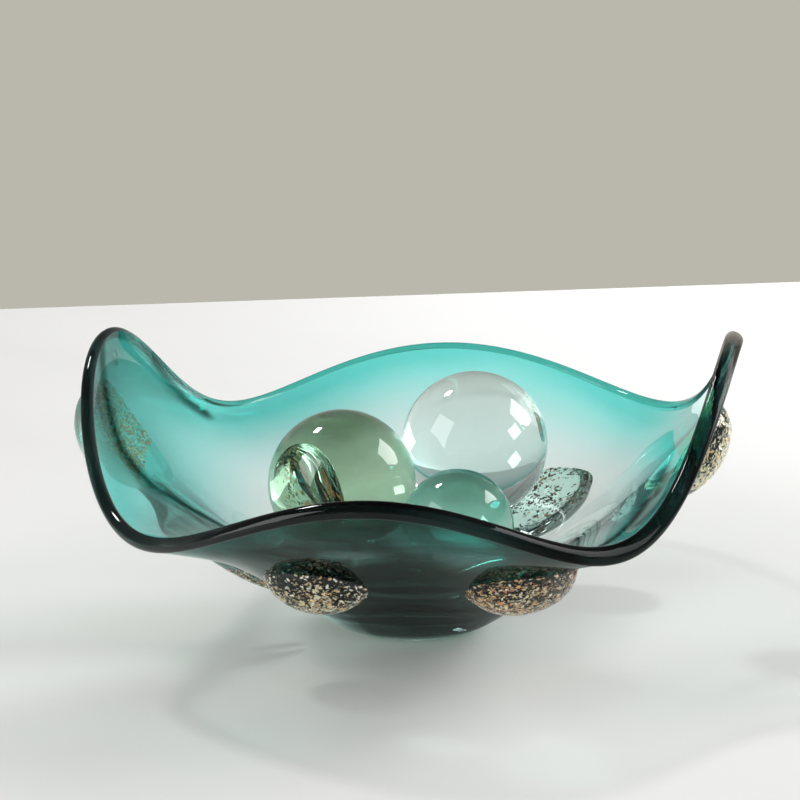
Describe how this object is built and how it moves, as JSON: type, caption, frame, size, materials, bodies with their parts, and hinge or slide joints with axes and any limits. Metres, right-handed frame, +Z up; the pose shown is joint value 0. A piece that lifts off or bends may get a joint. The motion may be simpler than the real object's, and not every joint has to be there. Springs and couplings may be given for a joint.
{
  "type": "decorative glass bowl",
  "caption": "Heavy free-form art glass bowl with a waved dark rim, pressed glass lumps over metal leaf, and loose solid glass balls inside.",
  "frame": {"origin": "centre of the flat foot, on the table", "axes": "+Z up, +X to the right of the side that is usually seen, +Y to its back"},
  "size_m": [0.3584, 0.4275, 0.1628],
  "materials": {
    "teal_glass": "polished transparent teal glass, deeper colour towards the rim",
    "dark_glass": "near-black glass with a fire-polished round edge",
    "clear_glass": "clear glass, fire polished",
    "metal_leaf": "broken gold and silver leaf flakes trapped in glass",
    "tinted_ball_glass": "polished glass with a faint grey-green tint",
    "clear_ball_glass": "polished clear glass"
  },
  "bodies": {
    "bowl": {"bowl_wall": "teal_glass", "rim_wrap": "dark_glass", "prunt_left": "clear_glass", "prunt_front_left": "clear_glass", "prunt_front_right": "clear_glass", "prunt_right": "clear_glass", "prunt_back_right": "clear_glass", "prunt_back": "clear_glass", "gold_leaf_left": "metal_leaf", "gold_leaf_front_left": "metal_leaf", "gold_leaf_front_right": "metal_leaf", "gold_leaf_right": "metal_leaf", "gold_leaf_back_right": "metal_leaf", "gold_leaf_back": "metal_leaf"},
    "ball_left": {"glass_ball_left": "tinted_ball_glass"},
    "ball_right": {"glass_ball_right": "clear_ball_glass"},
    "ball_small": {"glass_ball_small": "clear_ball_glass"}
  },
  "joints": [
    {"name": "lift_ball_left", "type": "slide", "parent": "bowl", "child": "ball_left", "axis": [-0.25, -0.1, 0.9631], "range_m": [0, 0.15]},
    {"name": "lift_ball_right", "type": "slide", "parent": "bowl", "child": "ball_right", "axis": [0.1, 0.1499, 0.9836], "range_m": [0, 0.15]},
    {"name": "lift_ball_small", "type": "slide", "parent": "bowl", "child": "ball_small", "axis": [0.15, -0.4001, 0.9041], "range_m": [0, 0.15]}
  ]
}
